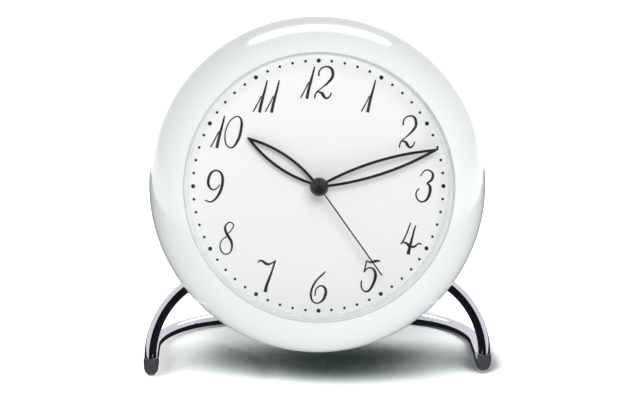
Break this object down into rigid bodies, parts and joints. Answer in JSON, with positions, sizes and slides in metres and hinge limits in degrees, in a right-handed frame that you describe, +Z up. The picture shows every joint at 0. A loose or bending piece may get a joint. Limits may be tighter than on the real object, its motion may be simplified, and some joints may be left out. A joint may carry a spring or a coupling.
{
  "type": "table clock",
  "caption": "Round white table clock leaning back on one bent wire stand, with a numbered dial, leaf hands, a quartz train that turns them and a battery door",
  "frame": {"origin": "on the table, under the middle of the clock's bounding box", "axes": "+X to the viewer's right, +Y away from the viewer, +Z up; the dial faces -Y and leans back 12 degrees"},
  "size_m": [0.1164, 0.0859, 0.1202],
  "materials": {
    "case": "smooth glossy white moulding",
    "case_screw": "zinc plated",
    "glass": "clear, polished, slightly domed",
    "seal": "dull grey",
    "dial": "satin white print ground",
    "carrier": "moulded light grey",
    "hands": "black satin paint",
    "cap": "glossy black",
    "wire": "bright plating on bent wire",
    "sleeve": "smoky clear soft sleeve",
    "movement": "black moulding",
    "plate": "natural moulding",
    "small_screw": "plated",
    "gear": "natural acetal",
    "cannon": "turned",
    "arbor": "polished steel",
    "magnet": "sintered magnet",
    "lamination": "annealed sheet",
    "bobbin": "natural moulding",
    "winding": "enamelled copper wire",
    "board": "green solder mask",
    "blob": "black epoxy",
    "can": "bright can",
    "battery": "dark printed jacket",
    "contact": "nickel plated spring strip"
  },
  "bodies": {
    "case": {"case_front": "case", "case_back": "case", "case_screws": "case_screw", "glass": "glass", "glass_seal": "seal", "dial": "dial", "dial_carrier": "carrier", "stand_wire": "wire", "foot_sleeve_left": "sleeve", "foot_sleeve_right": "sleeve", "rear_pad": "sleeve", "movement_base": "movement", "movement_cover": "movement", "mid_plate": "plate", "cover_screws": "small_screw", "movement_screws": "small_screw", "stator": "lamination", "coil_core": "lamination", "coil_bobbin": "bobbin", "coil_winding": "winding", "stator_screws": "small_screw", "circuit_board": "board", "controller_blob": "blob", "quartz_can": "can", "battery": "battery", "contact_positive": "contact", "contact_negative": "contact"},
    "second": {"second_hand": "hands", "centre_cap": "cap", "second_arbor": "arbor", "second_wheel": "gear"},
    "minute": {"minute_hand": "hands", "cannon_pinion": "cannon", "centre_wheel": "gear"},
    "hour": {"hour_hand": "hands", "hour_wheel": "gear"},
    "minute_wheel": {"minute_wheel": "gear"},
    "third_wheel": {"third_wheel": "gear"},
    "step_wheel": {"step_wheel": "gear"},
    "rotor": {"rotor_pinion": "gear", "rotor_magnet": "magnet"},
    "setting": {"time_set_knob": "case", "setting_shaft": "gear"},
    "door": {"battery_door": "case"}
  },
  "joints": [
    {"name": "minute_turn", "type": "hinge", "parent": "case", "child": "minute", "pos_m": [0, -0.01626, 0.066], "axis": [0, 0.9781, -0.2079], "continuous": true},
    {"name": "second_turn", "type": "hinge", "parent": "case", "child": "second", "pos_m": [0, -0.01626, 0.066], "axis": [0, 0.9781, -0.2079], "continuous": true},
    {"name": "hour_turn", "type": "hinge", "parent": "case", "child": "hour", "pos_m": [0, -0.01626, 0.066], "axis": [0, 0.9781, -0.2079], "continuous": true},
    {"name": "minute_wheel_turn", "type": "hinge", "parent": "case", "child": "minute_wheel", "pos_m": [0, -0.0147, 0.07334], "axis": [0, 0.9781, -0.2079], "continuous": true},
    {"name": "third_wheel_turn", "type": "hinge", "parent": "case", "child": "third_wheel", "pos_m": [-0.00779, -0.01532, 0.0704], "axis": [0, 0.9781, -0.2079], "continuous": true},
    {"name": "step_wheel_turn", "type": "hinge", "parent": "case", "child": "step_wheel", "pos_m": [0.0052, -0.01564, 0.06893], "axis": [0, 0.9781, -0.2079], "continuous": true},
    {"name": "rotor_turn", "type": "hinge", "parent": "case", "child": "rotor", "pos_m": [0.01071, -0.01543, 0.06989], "axis": [0, 0.9781, -0.2079], "continuous": true},
    {"name": "setting_turn", "type": "hinge", "parent": "case", "child": "setting", "pos_m": [0.00375, -0.01335, 0.07969], "axis": [0, 0.9781, -0.2079], "continuous": true},
    {"name": "door_slide", "type": "slide", "parent": "case", "child": "door", "axis": [0, 0.9781, -0.2079], "range_m": [0, 0.015]}
  ],
  "couplings": [
    {"joint": "hour_turn", "follows": "minute_turn", "ratio": 0.083333},
    {"joint": "minute_wheel_turn", "follows": "minute_turn", "ratio": -0.33333},
    {"joint": "setting_turn", "follows": "minute_turn", "ratio": 1},
    {"joint": "third_wheel_turn", "follows": "minute_turn", "ratio": -7.5},
    {"joint": "second_turn", "follows": "minute_turn", "ratio": 60},
    {"joint": "step_wheel_turn", "follows": "minute_turn", "ratio": -300},
    {"joint": "rotor_turn", "follows": "minute_turn", "ratio": 1800}
  ]
}
